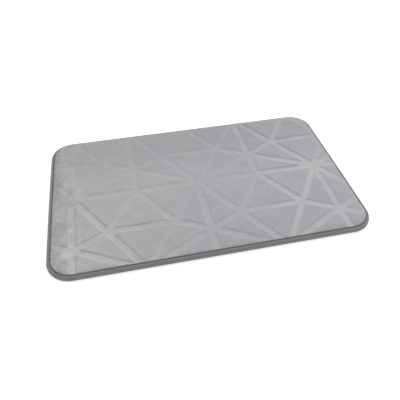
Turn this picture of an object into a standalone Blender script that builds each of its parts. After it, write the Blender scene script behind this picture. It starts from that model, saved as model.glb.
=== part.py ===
"""Foam bath mat: a pressed plush face over wadding and a foam core, a backing
cloth with a grip coat, and a knitted tape bound round the edge and sewn through.

Run it with: blender --background --python part.py
Units are metres. +X runs along the mat, +Y from its front to its back, +Z up.
The origin is on the floor, under the middle of the mat.
"""

import math

import bmesh
import bpy

# ---- Driving dimensions ----------------------------------------------------
MAT_LENGTH = 0.800
MAT_WIDTH = 0.500
CORNER_RADIUS = 0.060
CLEARANCE = 0.0003  # between any two pieces that lie on each other

# Edge binding: a tape folded round the edge, so its section is a C.
TAPE_THICKNESS = 0.0009
TAPE_REACH = 0.0090  # from the outer face to the ends of the tape's two legs
EDGE_ROUNDING = 0.0068  # radius of the fold's upper and lower turn

# Sewing thread, one line above the tape and one below it.
THREAD_DIAMETER = 0.0004
THREAD_ABOVE_FLOOR = 0.00005
STITCH_MARGIN = 0.0015  # from the ends of the tape's legs to the seam

# Layers, from the floor up.
BACKING_CLOTH = 0.0006
CORE_THICKNESS = 0.0095
WADDING_THICKNESS = 0.0020
SEAM_CLOTH = 0.0009  # the cover where the seam squeezes it flat
COVER_SIDE = 0.0030  # the cover where it turns down over the wadding
COVER_PILE = 0.0032
CROWN_RADIUS = 0.0040  # rounding of the cover's upper edge

# Pressed pattern: a net of channels in the cover's pile.
CHANNEL_WIDTH = 0.0160
CHANNEL_DEPTH = 0.0020
TRIANGLE_SIDE = 0.3360  # side of the net's large triangles, along X
TRIANGLE_HEIGHT = 0.2600  # from one row of large triangles to the next
NET_X = -0.0040  # where one corner of the large triangles lies
NET_Y = -0.0010

# Care label, sewn in at the right-hand end, under the mat.
LABEL_LENGTH = 0.0450
LABEL_WIDTH = 0.0300
LABEL_THICKNESS = 0.0004
LABEL_ABOVE_FLOOR = 0.0001
LABEL_Y = 0.1400
LABEL_CORNER = 0.0020

# Smoothness of round stretches.
CORNER_STEPS = 12
FOLD_STEPS = 6
CROWN_STEPS = 4
THREAD_SIDES = 2  # a bevel resolution

# ---- Heights and insets that follow from them --------------------------------
TAPE_BOTTOM = THREAD_ABOVE_FLOOR + THREAD_DIAMETER + CLEARANCE
BACKING_BOTTOM = TAPE_BOTTOM + TAPE_THICKNESS + CLEARANCE
BACKING_TOP = BACKING_BOTTOM + BACKING_CLOTH
GRIP_TOP = BACKING_BOTTOM - CLEARANCE
CORE_BOTTOM = BACKING_TOP + CLEARANCE
CORE_TOP = CORE_BOTTOM + CORE_THICKNESS
WADDING_BOTTOM = CORE_TOP + CLEARANCE
WADDING_TOP = WADDING_BOTTOM + WADDING_THICKNESS
SEAM_TOP = WADDING_BOTTOM + SEAM_CLOTH
TAPE_TOP = SEAM_TOP + CLEARANCE + TAPE_THICKNESS
COVER_CEILING = WADDING_TOP + CLEARANCE
COVER_TOP = COVER_CEILING + COVER_PILE
CHANNEL_FLOOR = COVER_TOP - CHANNEL_DEPTH

SEAM_INSET = EDGE_ROUNDING + CLEARANCE  # where the sewn-in layers end
MOUTH_INSET = TAPE_REACH + CLEARANCE  # where the mat leaves the tape
POCKET_INSET = MOUTH_INSET + COVER_SIDE
WADDING_INSET = POCKET_INSET + CLEARANCE
THREAD_INSET = TAPE_REACH - STITCH_MARGIN

# The core fills the fold up to its two turns.
FOLD_INSIDE = EDGE_ROUNDING - TAPE_THICKNESS
FOLD_ABOVE = TAPE_TOP - EDGE_ROUNDING  # height of the upper turn's centre
FOLD_BELOW = TAPE_BOTTOM + EDGE_ROUNDING
CORE_RISE = max(CORE_TOP - FOLD_ABOVE, FOLD_BELOW - CORE_BOTTOM)
CORE_INSET = EDGE_ROUNDING - math.sqrt((FOLD_INSIDE - CLEARANCE) ** 2 - CORE_RISE**2)
LABEL_ROOM = LABEL_ABOVE_FLOOR + LABEL_THICKNESS + CLEARANCE

# Colours, as linear red, green and blue, then roughness. No piece is metal.
FINISHES = {
    "plush": ((0.330, 0.330, 0.340), 0.90),
    "wadding": ((0.800, 0.800, 0.790), 0.95),
    "foam": ((0.780, 0.720, 0.560), 0.95),
    "backing": ((0.500, 0.500, 0.510), 0.90),
    "grip": ((0.380, 0.380, 0.390), 0.60),
    "tape": ((0.165, 0.165, 0.168), 0.90),
    "thread": ((0.120, 0.120, 0.122), 0.70),
    "label": ((0.850, 0.850, 0.840), 0.50),
}


# ---- Scene and materials -------------------------------------------------------
def clear_scene():
    for obj in list(bpy.data.objects):
        bpy.data.objects.remove(obj, do_unlink=True)


def new_collection(name):
    collection = bpy.data.collections.new(name)
    bpy.context.scene.collection.children.link(collection)
    return collection


def make_material(name):
    colour, roughness = FINISHES[name]
    material = bpy.data.materials.new(name)
    material.use_nodes = True
    shader = material.node_tree.nodes["Principled BSDF"]
    shader.inputs["Base Color"].default_value = (*colour, 1.0)
    shader.inputs["Roughness"].default_value = roughness
    shader.inputs["Metallic"].default_value = 0.0
    return material


def as_part(obj, material_name):
    obj.data.materials.clear()
    obj.data.materials.append(bpy.data.materials[material_name])
    obj.parent = mat_empty
    return obj


def as_helper(obj):
    """A cutter or a guide: it shapes a part and isn't one."""
    obj.hide_render = True
    obj.display_type = "WIRE"
    return obj


# ---- Outlines --------------------------------------------------------------------
def rounded_rectangle(length, width, radius, steps=CORNER_STEPS):
    """Corner points of a rounded rectangle round the origin, anticlockwise."""
    points = []
    corners = ((1, 1, 0), (-1, 1, 90), (-1, -1, 180), (1, -1, 270))
    for side_x, side_y, start in corners:
        centre_x = side_x * (length / 2 - radius)
        centre_y = side_y * (width / 2 - radius)
        for step in range(steps + 1):
            angle = math.radians(start + 90 * step / steps)
            x = centre_x + radius * math.cos(angle)
            y = centre_y + radius * math.sin(angle)
            points.append((x, y))
    return points


def mat_outline(inset):
    """The mat's outline, moved inwards by inset."""
    return rounded_rectangle(
        MAT_LENGTH - 2 * inset, MAT_WIDTH - 2 * inset, CORNER_RADIUS - inset
    )


def add_loop(curve, points):
    """Adds one closed run of straight segments to a curve."""
    spline = curve.splines.new("POLY")
    spline.points.add(len(points) - 1)
    for target, (x, y) in zip(spline.points, points):
        target.co = (x, y, 0.0, 1.0)
    spline.use_cyclic_u = True


def flat_curve(name, loops, collection):
    """A flat curve of closed loops. A loop inside another is a hole."""
    curve = bpy.data.curves.new(name, "CURVE")
    curve.dimensions = "2D"
    for points in loops:
        add_loop(curve, points)
    obj = bpy.data.objects.new(name, curve)
    collection.objects.link(obj)
    return obj


def plate(name, loops, bottom, top, collection):
    """A plate of that outline, as a flat curve with half its thickness each way."""
    obj = flat_curve(name, loops, collection)
    obj.data.fill_mode = "BOTH"
    obj.data.extrude = (top - bottom) / 2
    obj.location.z = (top + bottom) / 2
    return obj


def mesh_from(curve_obj):
    """Turns a curve object into a mesh object of the same name and place, with its caps welded."""
    bpy.context.view_layer.update()
    graph = bpy.context.evaluated_depsgraph_get()
    mesh = bpy.data.meshes.new_from_object(curve_obj.evaluated_get(graph))
    made = bpy.data.objects.new(curve_obj.name, mesh)
    made.matrix_world = curve_obj.matrix_world.copy()
    for collection in curve_obj.users_collection:
        collection.objects.link(made)
    name, curve = curve_obj.name, curve_obj.data
    bpy.data.objects.remove(curve_obj)
    bpy.data.curves.remove(curve)
    made.name = name
    mesh.name = name
    weld_distance = 1e-6
    work = bmesh.new()
    work.from_mesh(mesh)
    bmesh.ops.remove_doubles(work, verts=work.verts, dist=weld_distance)
    bmesh.ops.recalc_face_normals(work, faces=work.faces)
    work.to_mesh(mesh)
    work.free()
    return made


def slab(name, inset, bottom, top, collection):
    return mesh_from(plate(name, [mat_outline(inset)], bottom, top, collection))


def boolean(obj, operation, other):
    modifier = obj.modifiers.new(f"{operation.lower()}_{other.name}", "BOOLEAN")
    modifier.operation = operation
    modifier.object = other
    modifier.solver = "EXACT"


# ---- The pressed pattern ----------------------------------------------------------
def midpoint(a, b):
    return ((a[0] + b[0]) / 2, (a[1] + b[1]) / 2)


def triangle_tiles(left, right, back, front):
    """The ten small triangles of one cell of the net.

    The large triangle that points back is cut into six by its medians. The one
    that points front is cut into four by the lines between its midpoints.
    """
    tiles = []
    middle = ((left[0] + right[0] + back[0]) / 3, (left[1] + right[1] + back[1]) / 3)
    for a, b in ((left, right), (right, back), (back, left)):
        half_way = midpoint(a, b)
        tiles.append((a, half_way, middle))
        tiles.append((half_way, b, middle))
    top = midpoint(left, right)
    low_left = midpoint(left, front)
    low_right = midpoint(right, front)
    tiles.append((left, low_left, top))
    tiles.append((right, top, low_right))
    tiles.append((front, low_right, low_left))
    tiles.append((top, low_left, low_right))
    return tiles


def shrunk(triangle, margin):
    """The triangle with each side moved inwards by margin: it shrinks towards its incentre."""
    a, b, c = triangle
    side_a, side_b, side_c = math.dist(b, c), math.dist(c, a), math.dist(a, b)
    around = side_a + side_b + side_c
    centre_x = (side_a * a[0] + side_b * b[0] + side_c * c[0]) / around
    centre_y = (side_a * a[1] + side_b * b[1] + side_c * c[1]) / around
    doubled_area = abs(
        (b[0] - a[0]) * (c[1] - a[1]) - (c[0] - a[0]) * (b[1] - a[1])
    )
    inradius = doubled_area / around
    share = 1 - margin / inradius
    return [
        (centre_x + (x - centre_x) * share, centre_y + (y - centre_y) * share)
        for x, y in triangle
    ]


def net_tiles():
    """Every raised tile that lies on the mat or crosses its outline."""
    rows = math.ceil(MAT_WIDTH / 2 / TRIANGLE_HEIGHT) + 1
    columns = math.ceil(MAT_LENGTH / 2 / TRIANGLE_SIDE) + 1
    tiles = []
    for row in range(-rows, rows + 1):
        shift = TRIANGLE_SIDE / 2 * (row % 2)
        for column in range(-columns, columns + 1):
            left = (NET_X + column * TRIANGLE_SIDE + shift, NET_Y + row * TRIANGLE_HEIGHT)
            right = (left[0] + TRIANGLE_SIDE, left[1])
            back = (left[0] + TRIANGLE_SIDE / 2, left[1] + TRIANGLE_HEIGHT)
            front = (back[0], left[1] - TRIANGLE_HEIGHT)
            for triangle in triangle_tiles(left, right, back, front):
                tile = shrunk(triangle, CHANNEL_WIDTH / 2)
                if crosses_mat(tile):
                    tiles.append(tile)
    return tiles


def crosses_mat(tile):
    xs = [x for x, _ in tile]
    ys = [y for _, y in tile]
    return (
        min(xs) < MAT_LENGTH / 2
        and max(xs) > -MAT_LENGTH / 2
        and min(ys) < MAT_WIDTH / 2
        and max(ys) > -MAT_WIDTH / 2
    )


def channel_cutter():
    """A slab as wide as the mat, less a prism for each raised tile, so it presses only the channels."""
    above = COVER_TOP + CHANNEL_DEPTH
    cutter = as_helper(slab("channel_cutter", 0.0, CHANNEL_FLOOR, above, cutters))
    below = CHANNEL_FLOOR - CHANNEL_DEPTH
    tiles = plate("raised_tiles", net_tiles(), below, above + CHANNEL_DEPTH, cutters)
    boolean(cutter, "DIFFERENCE", as_helper(mesh_from(tiles)))
    return cutter


# ---- The pieces, from the floor up -------------------------------------------------
def sewing_line(name, height):
    """The seam's thread as one closed line round the mat."""
    thread = flat_curve(name, [mat_outline(THREAD_INSET)], parts)
    thread.data.dimensions = "3D"
    thread.data.bevel_depth = THREAD_DIAMETER / 2
    thread.data.bevel_resolution = THREAD_SIDES
    thread.location.z = height
    return as_part(thread, "thread")


def care_label():
    """A blank folded ribbon whose outer end is caught in the seam."""
    outline = rounded_rectangle(LABEL_LENGTH, LABEL_WIDTH, LABEL_CORNER, FOLD_STEPS)
    low, high = LABEL_ABOVE_FLOOR, LABEL_ABOVE_FLOOR + LABEL_THICKNESS
    label = plate("care_label", [outline], low, high, parts)
    label.location.x = MAT_LENGTH / 2 - MOUTH_INSET - CLEARANCE - LABEL_LENGTH / 2
    label.location.y = LABEL_Y
    return as_part(mesh_from(label), "label")


def label_recess(label):
    """Room in the grip coat for the label."""
    outline = rounded_rectangle(
        LABEL_LENGTH + 2 * CLEARANCE,
        LABEL_WIDTH + 2 * CLEARANCE,
        LABEL_CORNER + CLEARANCE,
        FOLD_STEPS,
    )
    recess = plate("label_recess", [outline], -LABEL_ROOM, LABEL_ROOM, cutters)
    recess.location.x = label.location.x
    recess.location.y = label.location.y
    return as_helper(mesh_from(recess))


def grip_coat(label):
    """The grip coat on the floor, inside the tape's lower leg."""
    coat = slab("grip_coat", MOUTH_INSET, 0.0, GRIP_TOP, parts)
    boolean(coat, "DIFFERENCE", label_recess(label))
    return as_part(coat, "grip")


def backing_cloth():
    """The cloth that carries the grip coat. Its rim is in the seam."""
    cloth = slab("backing_cloth", SEAM_INSET, BACKING_BOTTOM, BACKING_TOP, parts)
    return as_part(cloth, "backing")


def foam_core():
    core = slab("foam_core", CORE_INSET, CORE_BOTTOM, CORE_TOP, parts)
    return as_part(core, "foam")


def wadding():
    layer = slab("wadding", WADDING_INSET, WADDING_BOTTOM, WADDING_TOP, parts)
    return as_part(layer, "wadding")


def crown():
    """The cover's raised middle, with its upper edge rounded."""
    bottom = SEAM_TOP - SEAM_CLOTH / 2
    block = slab("crown", MOUTH_INSET, bottom, COVER_TOP, cutters)
    work = bmesh.new()
    work.from_mesh(block.data)
    highest = max(vert.co.z for vert in work.verts)
    near = CLEARANCE / 10
    rim = [
        edge
        for edge in work.edges
        if all(vert.co.z > highest - near for vert in edge.verts)
        and any(abs(face.normal.z) < 0.5 for face in edge.link_faces)
    ]
    bmesh.ops.bevel(
        work,
        geom=rim,
        offset=CROWN_RADIUS,
        segments=CROWN_STEPS,
        profile=0.5,
        affect="EDGES",
    )
    work.to_mesh(block.data)
    work.free()
    return as_helper(block)


def plush_cover():
    """The cover: a rim in the seam, a crown over the wadding, and the pressed channels."""
    cover = slab("plush_cover", SEAM_INSET, WADDING_BOTTOM, SEAM_TOP, parts)
    boolean(cover, "UNION", crown())
    below = WADDING_BOTTOM - SEAM_CLOTH
    pocket = as_helper(slab("pocket", POCKET_INSET, below, COVER_CEILING, cutters))
    boolean(cover, "DIFFERENCE", pocket)
    boolean(cover, "DIFFERENCE", channel_cutter())
    return as_part(cover, "plush")


def fold_arc(centre_x, centre_z, radius, start, end):
    """Points on a turn of the fold. Angles are in degrees and 180 faces away from the mat."""
    points = []
    for step in range(FOLD_STEPS + 1):
        angle = math.radians(start + (end - start) * step / FOLD_STEPS)
        points.append(
            (centre_x + radius * math.cos(angle), centre_z + radius * math.sin(angle))
        )
    return points


def tape_section():
    """The folded tape's C section: X is the inset from the mat's outer face and Y the height."""
    outside = [(TAPE_REACH, TAPE_TOP)]
    outside += fold_arc(EDGE_ROUNDING, FOLD_ABOVE, EDGE_ROUNDING, 90, 180)
    outside += fold_arc(EDGE_ROUNDING, FOLD_BELOW, EDGE_ROUNDING, 180, 270)
    outside += [(TAPE_REACH, TAPE_BOTTOM)]
    inside = [(TAPE_REACH, TAPE_BOTTOM + TAPE_THICKNESS)]
    inside += fold_arc(EDGE_ROUNDING, FOLD_BELOW, FOLD_INSIDE, 270, 180)
    inside += fold_arc(EDGE_ROUNDING, FOLD_ABOVE, FOLD_INSIDE, 180, 90)
    inside += [(TAPE_REACH, TAPE_TOP - TAPE_THICKNESS)]
    return outside + inside


def edge_binding():
    """The tape's section swept round the mat's outline."""
    section = as_helper(flat_curve("tape_section", [tape_section()], cutters))
    tape = flat_curve("edge_binding", [mat_outline(0.0)], parts)
    tape.data.bevel_mode = "OBJECT"
    tape.data.bevel_object = section
    return as_part(mesh_from(tape), "tape")


# ---- Assembly ------------------------------------------------------------------------
clear_scene()
parts = new_collection("bath_mat")
cutters = new_collection("cutters")
for finish in FINISHES:
    make_material(finish)
mat_empty = bpy.data.objects.new("bath_mat_origin", None)
parts.objects.link(mat_empty)

sewn_label = care_label()
grip_coat(sewn_label)
backing_cloth()
foam_core()
wadding()
plush_cover()
edge_binding()
sewing_line("needle_thread", TAPE_TOP + CLEARANCE + THREAD_DIAMETER / 2)
sewing_line("bobbin_thread", THREAD_ABOVE_FLOOR + THREAD_DIAMETER / 2)
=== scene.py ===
# %% [markdown]
# # A cushioned bath mat
#
# The mat is a sandwich. A plush cover with a pressed net of channels lies on wadding and
# a foam core, a grip backing lies under them, and a knitted tape is folded round the edge
# and sewn through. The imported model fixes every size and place. This script makes what a
# person sees: pile, knit, stitches, grip dots, and the soft crown of the face.

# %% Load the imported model
import math

import bmesh
import bpy
import numpy as np
from mathutils import Matrix, Vector, noise


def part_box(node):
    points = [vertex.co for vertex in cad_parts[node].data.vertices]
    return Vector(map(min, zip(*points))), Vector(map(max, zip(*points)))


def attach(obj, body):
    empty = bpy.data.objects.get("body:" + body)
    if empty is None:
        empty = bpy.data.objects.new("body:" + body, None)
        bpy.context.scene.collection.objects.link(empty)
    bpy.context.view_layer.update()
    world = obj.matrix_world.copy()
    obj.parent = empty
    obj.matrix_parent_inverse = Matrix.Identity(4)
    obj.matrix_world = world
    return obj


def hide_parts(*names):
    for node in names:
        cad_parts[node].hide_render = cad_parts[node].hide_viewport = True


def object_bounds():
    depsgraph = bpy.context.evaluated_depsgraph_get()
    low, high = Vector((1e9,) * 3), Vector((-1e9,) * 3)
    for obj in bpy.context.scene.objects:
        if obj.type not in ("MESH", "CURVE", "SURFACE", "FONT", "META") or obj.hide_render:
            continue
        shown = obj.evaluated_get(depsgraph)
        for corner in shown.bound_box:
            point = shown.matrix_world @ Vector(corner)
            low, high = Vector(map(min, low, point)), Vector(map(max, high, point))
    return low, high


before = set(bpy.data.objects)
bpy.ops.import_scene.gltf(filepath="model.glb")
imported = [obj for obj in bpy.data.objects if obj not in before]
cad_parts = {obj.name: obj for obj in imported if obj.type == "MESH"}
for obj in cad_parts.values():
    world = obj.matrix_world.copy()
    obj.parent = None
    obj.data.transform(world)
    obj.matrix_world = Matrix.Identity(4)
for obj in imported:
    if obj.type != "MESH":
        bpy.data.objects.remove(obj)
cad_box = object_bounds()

print("nodes:", sorted(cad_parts))

# %% [markdown]
# ## Sizes
#
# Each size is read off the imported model's boxes, so a piece made here always fits. Only
# what a box can't tell is written down again: the corner's radius, the clearance between
# pieces, the pressed net and the length of a stitch.

# %% Sizes read from the model
MM = 0.001
LOW, HIGH = cad_box
HALF_LENGTH = (HIGH.x - LOW.x) / 2
HALF_WIDTH = (HIGH.y - LOW.y) / 2
CORNER_RADIUS = 60 * MM
CLEARANCE = 0.3 * MM
CHANNEL_WIDTH = 16 * MM
CHANNEL_DEPTH = 2 * MM


def inset_of(node):
    """How far a node's outline lies inside the mat's outline."""
    low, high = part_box(node)
    return HALF_LENGTH - (high.x - low.x) / 2


TAPE_LOW, TAPE_HIGH = (corner.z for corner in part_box("edge_binding"))
COVER_LOW, COVER_HIGH = (corner.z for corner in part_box("plush_cover"))
WADDING_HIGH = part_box("wadding")[1].z
CLOTH_LOW, CLOTH_HIGH = (corner.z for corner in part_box("backing_cloth"))
SEAM_INSET = inset_of("plush_cover")
MOUTH_INSET = inset_of("grip_coat")
POCKET_INSET = inset_of("wadding") - CLEARANCE
THREAD_RADIUS = (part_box("needle_thread")[1].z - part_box("needle_thread")[0].z) / 2
THREAD_INSET = inset_of("needle_thread") + THREAD_RADIUS
TAPE_REACH = MOUTH_INSET - CLEARANCE
print(f"mat {2 * HALF_LENGTH:.3f} x {2 * HALF_WIDTH:.3f} x {HIGH.z:.5f} m")

# %% [markdown]
# ## The outline, as stations
#
# Tape and seam follow one rounded rectangle at different insets. A station is a point on
# it with its outward direction, and the same point at any inset is one step inwards from
# it, because straight sides and corner arcs both keep their direction. It is the same
# idea as sweeping a profile along a curve, but it keeps the distance run, which the knit
# and the puckers need.


# %% Stations round the mat
def stations(spacing):
    """Points anticlockwise round the mat: x, y, outward x, outward y and the distance run."""
    rows = []
    run = 0.0
    corner_x = HALF_LENGTH - CORNER_RADIUS
    corner_y = HALF_WIDTH - CORNER_RADIUS
    arc = CORNER_RADIUS * math.pi / 2
    arc_steps = round(arc / spacing)
    for quarter in range(4):
        side_x = 1 if quarter in (0, 3) else -1
        side_y = 1 if quarter in (0, 1) else -1
        for step in range(arc_steps):
            angle = math.pi / 2 * (quarter + step / arc_steps)
            out_x, out_y = math.cos(angle), math.sin(angle)
            x = side_x * corner_x + CORNER_RADIUS * out_x
            y = side_y * corner_y + CORNER_RADIUS * out_y
            rows.append((x, y, out_x, out_y, run + arc * step / arc_steps))
        run += arc
        side = 2 * (corner_x if quarter % 2 == 0 else corner_y)
        steps = round(side / spacing)
        angle = math.pi / 2 * (quarter + 1)
        out_x, out_y = math.cos(angle), math.sin(angle)
        for step in range(steps):
            along = side * step / steps
            x = side_x * corner_x + CORNER_RADIUS * out_x - out_y * along
            y = side_y * corner_y + CORNER_RADIUS * out_y + out_x * along
            rows.append((x, y, out_x, out_y, run + along))
        run += side
    return np.array(rows), run


tape_stations, PERIMETER = stations(1.3 * MM)
print(f"perimeter {PERIMETER:.3f} m in {len(tape_stations)} stations")


# %% Helpers for meshes
def link(obj):
    bpy.context.scene.collection.objects.link(obj)
    return obj


def object_from(name, points, faces, edges=()):
    """A new mesh object at the origin, from points in metres and its faces or bare edges."""
    mesh = bpy.data.meshes.new(name)
    mesh.from_pydata(points, edges, faces)
    mesh.update()
    return link(bpy.data.objects.new(name, mesh))


def smooth(obj):
    obj.data.shade_smooth()
    return obj


def frozen(obj):
    """Turns an object and its modifiers into one plain mesh, and leaves no modifier on it."""
    bpy.context.view_layer.update()
    graph = bpy.context.evaluated_depsgraph_get()
    mesh = bpy.data.meshes.new_from_object(obj.evaluated_get(graph))
    mesh.name = obj.name
    obj.modifiers.clear()
    if obj.type == "MESH":
        obj.data = mesh
        return obj
    name = obj.name
    bpy.data.objects.remove(obj)
    return link(bpy.data.objects.new(name, mesh))


def count(obj):
    obj.data.calc_loop_triangles()
    print(f"{obj.name}: {len(obj.data.loop_triangles)} triangles")
    return obj


# %% [markdown]
# ## Helpers for node trees
#
# Materials and Geometry Nodes are both graphs. These helpers add a node with its inputs
# fed, and the bits of maths that most effects are made of, so that each effect below
# reads as a short recipe.


# %% Helpers for nodes
FLOAT, VECTOR, OBJECT = "NodeSocketFloat", "NodeSocketVector", "NodeSocketObject"
GEOMETRY, MATERIAL = "NodeSocketGeometry", "NodeSocketMaterial"


def feed(tree, socket, value):
    """Links a socket to an output, or sets it to a plain value."""
    if isinstance(value, bpy.types.NodeSocket):
        tree.links.new(value, socket)
    else:
        socket.default_value = value


def add_node(tree, kind, inputs=None, **settings):
    """Adds a node, feeds its inputs by name or number, and gives its outputs."""
    made = tree.nodes.new(kind)
    for key, value in settings.items():
        setattr(made, key, value)
    for key, value in (inputs or {}).items():
        feed(tree, made.inputs[key], value)
    return made.outputs


def maths(tree, operation, a, b=0.0):
    return add_node(tree, "ShaderNodeMath", {0: a, 1: b}, operation=operation)[0]


def product(tree, value, *others):
    for other in others:
        value = maths(tree, "MULTIPLY", value, other)
    return value


def spread(tree, value, low, high, new_low, new_high, soft=True):
    """Maps value from one range to another, clamped, with soft ends if wanted."""
    ends = "SMOOTHSTEP" if soft else "LINEAR"
    inputs = dict(enumerate((value, low, high, new_low, new_high)))
    return add_node(tree, "ShaderNodeMapRange", inputs, clamp=True, interpolation_type=ends)[0]


def wave(tree, distance, per_metre):
    """A sine with so many turns to the metre."""
    return maths(tree, "SINE", product(tree, distance, per_metre, 2 * math.pi))


def vector_maths(tree, operation, a, b=(0.0, 0.0, 0.0)):
    return add_node(tree, "ShaderNodeVectorMath", {0: a, 1: b}, operation=operation)


def axes(tree, vector):
    """A vector's own X, Y and Z."""
    return add_node(tree, "ShaderNodeSeparateXYZ", {0: vector})


def noise_texture(tree, vector, scale=1.0, detail=2.0, distortion=0.0):
    inputs = {"Vector": vector, "Scale": scale, "Detail": detail, "Distortion": distortion}
    return add_node(tree, "ShaderNodeTexNoise", inputs)["Fac"]


def new_tree(name, kind, inputs, outputs):
    """An empty node group. Each input or output is (name, type) or (name, type, default)."""
    tree = bpy.data.node_groups.new(name, kind)
    for in_out, wanted in (("INPUT", inputs), ("OUTPUT", outputs)):
        for label, socket_type, *default in wanted:
            socket = tree.interface.new_socket(label, in_out=in_out, socket_type=socket_type)
            if default:
                socket.default_value = default[0]
    entry = tree.nodes.new("NodeGroupInput")
    leave = tree.nodes.new("NodeGroupOutput")
    return tree, entry.outputs, leave.inputs


# %% [markdown]
# ## Shared finishes
#
# Most materials here are cloth or rubber, so they share two effects. The speckle is the
# fine unevenness of fibres: a small light and dark grain and the height to bump with. The
# ribs are the knitted tape's slanting ribs, laid out on its own UV map, whose two numbers
# are metres along the tape and across it.


# %% The fibre speckle group
def shader_group(name, *inputs):
    """A group that gives a shade near 1 and a height to bump with."""
    return new_tree(name, "ShaderNodeTree", inputs, [("Shade", FLOAT), ("Height", FLOAT)])


def speckle_group():
    tree, given, result = shader_group(
        "fibre_speckle",
        ("Vector", VECTOR),
        ("Fibres Per Metre", FLOAT, 700.0),
        ("Clumps Per Metre", FLOAT, 160.0),
        ("Strength", FLOAT, 0.1),
    )
    fine = noise_texture(tree, given["Vector"], given["Fibres Per Metre"], 3.0)
    clumps = noise_texture(tree, given["Vector"], given["Clumps Per Metre"], 2.0)
    both = maths(tree, "ADD", fine, clumps)
    shade = product(tree, maths(tree, "SUBTRACT", both, 1.0), given["Strength"])
    feed(tree, result["Shade"], maths(tree, "ADD", shade, 1.0))
    feed(tree, result["Height"], product(tree, both, 0.5))
    return tree


# %% The knitted rib group
def rib_group():
    tree, given, result = shader_group(
        "knit_ribs", ("UV", VECTOR), ("Ribs Per Metre", FLOAT, 700.0), ("Slant", FLOAT, 0.6)
    )
    parts = axes(tree, given["UV"])
    along = maths(tree, "ADD", parts["X"], product(tree, parts["Y"], given["Slant"]))
    ribs = wave(tree, along, given["Ribs Per Metre"])
    loops = wave(tree, parts["Y"], given["Ribs Per Metre"])
    height = maths(tree, "ADD", ribs, product(tree, loops, 0.4))
    feed(tree, result["Height"], height)
    feed(tree, result["Shade"], spread(tree, height, -1.4, 1.4, 0.86, 1.1))
    return tree


SPECKLE = speckle_group()
RIBS = rib_group()
print("shader groups:", SPECKLE.name, RIBS.name)


# %% Helpers for materials
def new_material(name, roughness, sheen=0.0, sheen_roughness=0.5):
    """A material whose constant values sit on the Principled BSDF's own sockets."""
    material = bpy.data.materials.new(name)
    material.use_nodes = True
    tree = material.node_tree
    surface = tree.nodes["Principled BSDF"].inputs
    surface["Roughness"].default_value = roughness
    surface["Sheen Weight"].default_value = sheen
    surface["Sheen Roughness"].default_value = sheen_roughness
    return material, tree, surface


def dress(tree, surface, colour, normal):
    feed(tree, surface["Base Color"], colour)
    feed(tree, surface["Normal"], normal)


def place_group(tree, group, **values):
    """Adds a shared group to a material, with its own values for the group's inputs."""
    inputs = {label.replace("_", " "): value for label, value in values.items()}
    return add_node(tree, "ShaderNodeGroup", inputs, node_tree=group)


def mixed(tree, factor, first, second, blend="MIX"):
    inputs = {"Factor": factor, "A": first, "B": second}
    return add_node(tree, "ShaderNodeMix", inputs, data_type="RGBA", blend_type=blend)["Result"]


def shaded(tree, colour, *shades):
    """A colour multiplied by one or more masks near 1."""
    for shade in shades:
        colour = mixed(tree, 1.0, colour, shade, "MULTIPLY")
    return colour


def bump(tree, height, distance, strength=1.0, normal=None):
    inputs = {"Strength": strength, "Distance": distance, "Height": height}
    if normal is not None:
        inputs["Normal"] = normal
    return add_node(tree, "ShaderNodeBump", inputs)["Normal"]


def object_place(tree):
    return add_node(tree, "ShaderNodeTexCoord")["Object"]


def scaled(tree, vector, scale, angle=0.0):
    """A vector stretched by scale, after a turn about Z."""
    inputs = {"Vector": vector, "Rotation": (0.0, 0.0, angle), "Scale": scale}
    return add_node(tree, "ShaderNodeMapping", inputs, vector_type="POINT")["Vector"]


# %% [markdown]
# ## The plush finish
#
# Short plush changes its shade with the way its pile leans. Where a hand or the machine
# has brushed it there are soft cloudy patches, and close up there is a fine speckle. The
# patches are stretched noise. Where the net pressed it the fibres lie flat and shine, and
# that shine is painted into the colour as paler bands. Painted shade also darkens and
# cools the raised pile to the right and darkens it at the back, at the left end and in
# the crease at the seam, and painted light brightens the front left. The pressing step
# below stores on the mesh how far each point is from the nearest line of the net, how
# well the net took there and which side of the line faces the light, and the paler bands
# and a painted shadow line on the walls that face away from the light are drawn from
# that. The sheen on the Principled BSDF gives the pale rim that light makes on pile.


# %% The plush material
ROLLER_LINE = 3.4 * MM


def attribute(tree, name):
    return add_node(tree, "ShaderNodeAttribute", attribute_name=name)["Fac"]


def stretched_noise(tree, place, scale, angle=0.0, detail=2.0, distortion=0.0):
    vector = scaled(tree, place, (*scale, 1.0), angle)
    return noise_texture(tree, vector, 1.0, detail, distortion)


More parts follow.
